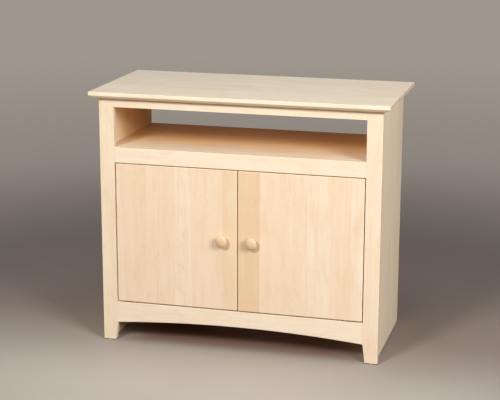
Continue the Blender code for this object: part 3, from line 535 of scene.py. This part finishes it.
def dress_hardware():
    """Finishes the metal and plastic nodes by the start of their names. Returns brass and steel."""
    brass = metal("hinge_brass_finish", (0.76, 0.56, 0.27), (0.46, 0.30, 0.12), 0.34, (0.05, 1.0, 1.0))
    bronze = metal("washer_finish", (0.58, 0.37, 0.20), (0.30, 0.18, 0.09), 0.4)
    steel = metal("steel_finish", (0.66, 0.66, 0.64), (0.36, 0.35, 0.33), 0.36)
    nylon = plastic("nylon_finish", (0.80, 0.77, 0.70), (0.52, 0.48, 0.41), 0.42)
    tan = plastic("catch_finish", (0.62, 0.54, 0.41), (0.40, 0.33, 0.23), 0.48)
    looks = {"frame_leaf": brass, "door_leaf": brass, "washer": bronze, "glide": nylon,
             "catch_screw": steel, "catch": tan, "shelf_pin": steel, "top_screw": steel,
             "magnet": steel, "knob_screw": steel, "strike": steel}
    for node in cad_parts:
        for start, look in looks.items():
            if node.startswith(start + "_"):
                dress(node, look)
                break
    return brass, steel


# Added pieces ------------------------------------------------------------------------------

SMOOTH_BELOW = math.radians(35.0)


def new_piece(name, bm, look, body):
    """Makes a bmesh into a smooth-shaded object that rides on a body."""
    bmesh.ops.recalc_face_normals(bm, faces=bm.faces)
    mesh = bpy.data.meshes.new(name)
    bm.to_mesh(mesh)
    bm.free()
    mesh.materials.append(look)
    mesh.shade_smooth()
    mesh.set_sharp_from_angle(angle=SMOOTH_BELOW)
    piece = bpy.data.objects.new(name, mesh)
    bpy.context.collection.objects.link(piece)
    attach(piece, body)
    return piece


def ring(bm, radius, height, place, steps):
    """Points round local Z at a height, or the one point on the axis where the radius is nil."""
    if not radius:
        return [bm.verts.new(place @ Vector((0, 0, height)))]
    angles = [2 * math.pi * step / steps for step in range(steps)]
    return [bm.verts.new(place @ Vector((radius * math.cos(angle), radius * math.sin(angle), height)))
            for angle in angles]


def spin_profile(bm, profile, place, steps):
    """Adds a closed solid turned about local Z, from (radius, height) points that start and end on it."""
    rings = [ring(bm, radius, height, place, steps) for radius, height in profile]
    for upper, lower in zip(rings, rings[1:]):
        for step in range(steps):
            following = (step + 1) % steps
            loop = [upper[step % len(upper)], upper[following % len(upper)],
                    lower[following % len(lower)], lower[step % len(lower)]]
            corners = list(dict.fromkeys(loop))
            if len(corners) > 2:
                bm.faces.new(corners)


def quarter_turn(steps):
    """Sine and cosine at equal steps to a quarter turn, without its start."""
    angles = [step / steps * math.pi / 2 for step in range(1, steps + 1)]
    return [(math.sin(angle), math.cos(angle)) for angle in angles]


def placed(place, axis):
    """A frame at a place, with its Z along an axis."""
    turn = Vector((0, 0, 1)).rotation_difference(Vector(axis)).to_matrix().to_4x4()
    return Matrix.Translation(place) @ turn


# Turned knobs: height of the rim, and radius and height of neck and base, in shares of the node's
# own. The arris is in metres.
KNOB_RIM = 0.61
KNOB_NECK = (0.42, 0.296)
KNOB_BASE = (0.58, 0.074)
KNOB_ARRIS = 0.0003
KNOB_STEPS = 96
NECK_STEPS = 8
UNDERSIDE_STEPS = 12
CROWN_STEPS = 18


def knob_profile(radius, height):
    """Base, hollow neck, swelling underside and rounded crown."""
    base_radius, base_height = KNOB_BASE[0] * radius, KNOB_BASE[1] * height
    neck_radius, neck_height = KNOB_NECK[0] * radius, KNOB_NECK[1] * height
    rim = KNOB_RIM * height
    points = [(0.0, 0.0), (base_radius - KNOB_ARRIS, 0.0), (base_radius, KNOB_ARRIS),
              (base_radius, base_height)]
    points += [(neck_radius + (base_radius - neck_radius) * (1 - sine),
                neck_height - (neck_height - base_height) * cosine)
               for sine, cosine in quarter_turn(NECK_STEPS)]
    points += [(neck_radius + (radius - neck_radius) * sine, rim - (rim - neck_height) * cosine)
               for sine, cosine in quarter_turn(UNDERSIDE_STEPS)]
    points += [(radius * cosine, rim + (height - rim) * sine)
               for sine, cosine in quarter_turn(CROWN_STEPS)[:-1]]
    return points + [(0.0, height)]


def make_knobs():
    for side in SIDES:
        low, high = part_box("knob_" + side)
        radius, height = (high[0] - low[0]) / 2, high[1] - low[1]
        middle = Vector(((low[0] + high[0]) / 2, high[1], (low[2] + high[2]) / 2))
        bm = bmesh.new()
        spin_profile(bm, knob_profile(radius, height), placed(middle, (0, -1, 0)), KNOB_STEPS)
        look = maple(f"knob_{side}_finish", "y", "x", low[0], high[0], tones=(0.95,), seed=41,
                     shade=0.95, figure=0.6, grain=0.6, worn=0.0)
        piece = new_piece("turned_knob_" + side, bm, look, "door_" + side)
        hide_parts("knob_" + side)


class Screw(NamedTuple):
    """A low round head with a cross recess, in metres."""
    radius: float
    height: float
    recess: float


BACK_SCREW = Screw(0.0042, 0.0018, 0.0046)
HINGE_SCREW = Screw(0.0026, 0.00015, 0.0030)
RECESS_WIDTH = 0.0010
RECESS_DEPTH = 0.0012
HEAD_RIM = 0.35   # of the head's height
HEAD_STEPS = 40
DOME_STEPS = 6


def screw_head(name, screw, place, look, body):
    """Adds a head that stands on a place and rises along its Z."""
    dome = [(0.0, screw.height)]
    dome += [(screw.radius * sine, screw.height * (HEAD_RIM + (1 - HEAD_RIM) * cosine))
             for sine, cosine in quarter_turn(DOME_STEPS)]
    dome += [(screw.radius, 0.0), (0.0, 0.0)]
    bm = bmesh.new()
    spin_profile(bm, dome, place, HEAD_STEPS)
    head = new_piece(name, bm, look, body)
    cut_recess(head, screw, place)


def cut_recess(head, screw, place):
    """Cuts a cross into the crown of a screw's head."""
    tool = bmesh.new()
    crown = place @ Matrix.Translation((0, 0, screw.height))
    for length, width in ((screw.recess, RECESS_WIDTH), (RECESS_WIDTH, screw.recess)):
        size = Matrix.Diagonal((length, width, RECESS_DEPTH * 2, 1.0))
        bmesh.ops.create_cube(tool, size=1.0, matrix=crown @ size)
    mesh = bpy.data.meshes.new("recess")
    tool.to_mesh(mesh)
    tool.free()
    cross = bpy.data.objects.new("recess", mesh)
    bpy.context.collection.objects.link(cross)
    cut = head.modifiers.new("recess", "BOOLEAN")
    cut.operation = "DIFFERENCE"
    cut.solver = "EXACT"
    cut.use_self = True
    cut.object = cross
    bpy.context.view_layer.update()
    shape = bpy.data.meshes.new_from_object(head.evaluated_get(bpy.context.evaluated_depsgraph_get()))
    head.modifiers.clear()
    head.data = shape
    bpy.data.objects.remove(cross)


# Screws of the back panel: along its upper and lower edge, in shares of its half width, and up
# each side, in shares of its height
BACK_SEAT_GAP = 0.0002
BACK_ROW_SHARES = (-0.78, -0.26, 0.26, 0.78)
BACK_SIDE_SHARES = (0.3, 0.6)
BACK_SCREW_TURN = 0.7   # radians from one screw to the next


def back_screws(steel):
    """Heads seated on the plywood, into the bay shelf, the cupboard's floor and the sides."""
    low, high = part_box("back_panel")
    shelf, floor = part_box("bay_shelf"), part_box("cabinet_floor")
    rows = ((shelf[0][2] + high[2]) / 2, (floor[0][2] + floor[1][2]) / 2)
    spots = [(share * high[0], z) for z in rows for share in BACK_ROW_SHARES]
    side = (high[0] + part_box("side_panel_right")[0][0]) / 2
    spots += [(sign * side, low[2] + share * (high[2] - low[2]))
              for sign in (-1, 1) for share in BACK_SIDE_SHARES]
    for number, (x, z) in enumerate(spots):
        seat = placed((x, high[1] + BACK_SEAT_GAP, z), (0, 1, 0))
        turned = seat @ Matrix.Rotation(BACK_SCREW_TURN * number, 4, "Z")
        screw_head(f"back_screw_{number}", BACK_SCREW, turned, steel, "cabinet")


# Hinge screws, nearly flush in the leaves. The leaves stand proud of the wood, and the places are
# measured along them from the pivot.
LEAF_PROUD = 0.0011
HINGE_SCREW_PLACES = (0.0180, 0.0460)
HINGE_SCREW_TURNS = (1.1, 0.4)   # radians: each screw of a leaf, and a leaf that faces up or down


def leaf_screws(brass, label, rail, door, sign, up):
    """Two screw heads on each leaf of one hinge. up is the way its frame leaf faces."""
    rail_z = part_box(rail)[1 if up > 0 else 0][2]
    door_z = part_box(door)[0 if up > 0 else 1][2]
    low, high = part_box("door_leaf_" + label)
    middle_y, half_width = (low[1] + high[1]) / 2, (high[1] - low[1]) / 2
    pivot_x = sign * (max(abs(low[0]), abs(high[0])) - half_width)
    leaves = (("frame", "cabinet", rail_z + up * LEAF_PROUD, up),
              ("door", door, door_z - up * LEAF_PROUD, -up))
    for number, along in enumerate(HINGE_SCREW_PLACES):
        angle = HINGE_SCREW_TURNS[0] * number + HINGE_SCREW_TURNS[1] * up
        for kind, body, face_z, out in leaves:
            seat = placed((pivot_x - sign * along, middle_y, face_z), (0, 0, out))
            turned = seat @ Matrix.Rotation(angle, 4, "Z")
            screw_head(f"{kind}_leaf_screw_{label}_{number}", HINGE_SCREW, turned, brass, body)


def hinge_screws(brass):
    for side, sign in zip(SIDES, (-1, 1)):
        leaf_screws(brass, "upper_" + side, "middle_rail", "door_" + side, sign, -1)
        leaf_screws(brass, "lower_" + side, "bottom_rail", "door_" + side, sign, 1)


# Stage -------------------------------------------------------------------------------------

FLOOR_RADIUS = 24.0

# Floor paper near the cabinet: its tones as seen, and the tone with which it lights the cabinet
PAPER_TONES = ((0.47, 0.425, 0.378), (0.53, 0.482, 0.435))
FLOOR_BOUNCE = (0.33, 0.24, 0.17)

# Painted shade: it darkens towards the rear between these places (y, in metres), and a painted shadow
# darkens it more below the cabinet, in shares of the cupboard floor's half width and half depth
PAINTED_SHADE_RANGE = (-0.60, 0.10)
PAINTED_SHADE_TONE = (0.60, 0.54, 0.53)
PAINTED_SHADOW_RANGE = (0.60, 1.02)
PAINTED_SHADOW_TONE = (0.66, 0.48, 0.44)

# Between these distances it passes into tones that shine for camera, glossy and transmission rays
# alone: painted light and shade, darkest near the cabinet. They rise to the tone of the sky with
# distance, each ring giving a share of the rise, and towards the front between the places of
# FRONT_RANGE (y, in metres), as a painted pool of light.
NEAR_RING = (0.8, 1.6)
FAR_TONES = ((0.130, 0.113, 0.100), (0.345, 0.310, 0.270))
FAR_RINGS = ((1.2, 3.0, 0.55), (1.3, 7.0, 0.45))
FRONT_RANGE = (-1.0, -0.1)

# The sky lights the cabinet dimly and evenly
SKY_COLOUR = (0.94, 0.96, 1.0)
SKY_STRENGTH = 0.02

# Lamps: name, place, target, side of the square (m), power (W)
LAMP_COLOUR = (0.98, 0.98, 0.96)
LAMPS = (
    ("key_left", (-1.1, -3.8, 2.85), (0.0, 0.0, 0.45), 0.9, 118.0),
    ("key_right", (3.15, -2.85, 2.4), (0.0, 0.0, 0.45), 1.6, 154.0),
    ("overhead", (0.2, -0.9, 3.2), (0.0, 0.0, 0.83), 1.2, 18.0),
    ("fill_right", (3.4, 0.6, 1.8), (0.45, 0.0, 0.45), 1.0, 6.0),
    ("fill_rear", (-3.4, 2.4, 0.4), (0.0, 0.0, 0.45), 0.8, 75.0),
)


def near_paper(tree, place):
    """The paper's tone near the cabinet, with faint clouds, painted shade towards the rear and a painted
    shadow below the cabinet.
    """
    x, y, _ = tree.split(place)
    paper = tree.mix(tree.fit(tree.noise(place, 0.9, 2.0, 0.5), 0.3, 0.7), *PAPER_TONES)
    paper = tree.tint(tree.fit(y, *PAINTED_SHADE_RANGE, smooth=True), paper, PAINTED_SHADE_TONE)
    half_width, half_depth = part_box("cabinet_floor")[1][:2]
    nearness = tree.larger(tree.math("DIVIDE", tree.size(x), half_width),
                           tree.math("DIVIDE", tree.size(y), half_depth))
    return tree.tint(tree.fit(nearness, *PAINTED_SHADOW_RANGE, 1.0, 0.0, smooth=True), paper, PAINTED_SHADOW_TONE)


def far_glow(tree, place, distance):
    """The far floor's glowing tone: painted shade near the cabinet, paler with distance, and a painted
    pool of light in front of the cabinet.
    """
    rise = tree.math("ADD", *(tree.fit(distance, start, stop, 0.0, part, smooth=True)
                              for start, stop, part in FAR_RINGS))
    in_front = tree.fit(tree.split(place)[1], *FRONT_RANGE, 1.0, 0.0, smooth=True)
    return tree.mix(tree.larger(rise, in_front), *FAR_TONES)


def floor_paper():
    """Lit paper near the cabinet with painted shade, glowing tones of painted light and shade far off,
    and a dimmer bounce for light on the cabinet.
    """
    tree = Tree(bpy.data.materials.new("floor_paper"))
    place = tree.add("ShaderNodeTexCoord").outputs["Object"]
    distance = tree.vector("LENGTH", place)
    seen = tree.seen()
    far = tree.times(tree.fit(distance, *NEAR_RING, smooth=True), seen)
    base = tree.mix(seen, FLOOR_BOUNCE, near_paper(tree, place))
    tree.shade(Base_Color=tree.mix(far, base, (0.0, 0.0, 0.0)), Roughness=0.85, Specular_IOR_Level=0.0,
               Emission_Color=far_glow(tree, place, distance), Emission_Strength=far)
    return tree.owner


def floor_disc():
    bm = bmesh.new()
    bmesh.ops.create_circle(bm, cap_ends=True, segments=96, radius=FLOOR_RADIUS)
    mesh = bpy.data.meshes.new("floor_paper")
    bm.to_mesh(mesh)
    bm.free()
    mesh.materials.append(floor_paper())
    disc = bpy.data.objects.new("floor_paper", mesh)
    bpy.context.collection.objects.link(disc)


def lights():
    """Square area lamps, aimed at their targets and hidden from the camera."""
    for name, place, target, size, power in LAMPS:
        lamp = bpy.data.lights.new(name, "AREA")
        lamp.shape = "RECTANGLE"
        lamp.size = lamp.size_y = size
        lamp.energy = power
        lamp.color = LAMP_COLOUR
        held = bpy.data.objects.new(name, lamp)
        held.location = place
        held.rotation_euler = (Vector(target) - Vector(place)).to_track_quat("-Z", "Y").to_euler()
        held.visible_camera = False
        bpy.context.collection.objects.link(held)


def sky():
    """A dim even sky, which shows the far floor's tone to camera, glossy and transmission rays."""
    tree = Tree(bpy.data.worlds.new("studio"))
    lit, shown = tree.nodes["Background"], tree.add("ShaderNodeBackground")
    for light, colour, strength in ((lit, SKY_COLOUR, SKY_STRENGTH), (shown, FAR_TONES[1], 1.0)):
        tree.put((*colour, 1.0), light.inputs["Color"])
        tree.put(strength, light.inputs["Strength"])
    mixed = tree.add("ShaderNodeMixShader")
    for socket, value in zip(mixed.inputs, (tree.seen(), lit.outputs[0], shown.outputs[0])):
        tree.put(value, socket)
    tree.put(mixed.outputs[0], tree.nodes["World Output"].inputs["Surface"])
    bpy.context.scene.world = tree.owner


def camera():
    lens = bpy.data.cameras.new("camera")
    lens.lens = CAMERA_LENS
    lens.sensor_width = CAMERA_SENSOR
    lens.clip_end = CAMERA_REACH
    held = bpy.data.objects.new("camera", lens)
    held.matrix_world = (Matrix.Translation(CAMERA_PLACE)
                         @ Matrix.Rotation(math.radians(CAMERA_YAW), 4, "Z")
                         @ Matrix.Rotation(math.radians(90.0 - CAMERA_DOWN), 4, "X")
                         @ Matrix.Rotation(math.radians(CAMERA_ROLL), 4, "Z"))
    bpy.context.collection.objects.link(held)
    bpy.context.scene.camera = held


bpy.context.scene.view_settings.view_transform = "Standard"
camera()
lights()
sky()
floor_disc()
dress_boards()
BRASS, STEEL = dress_hardware()
make_knobs()
back_screws(STEEL)
hinge_screws(BRASS)
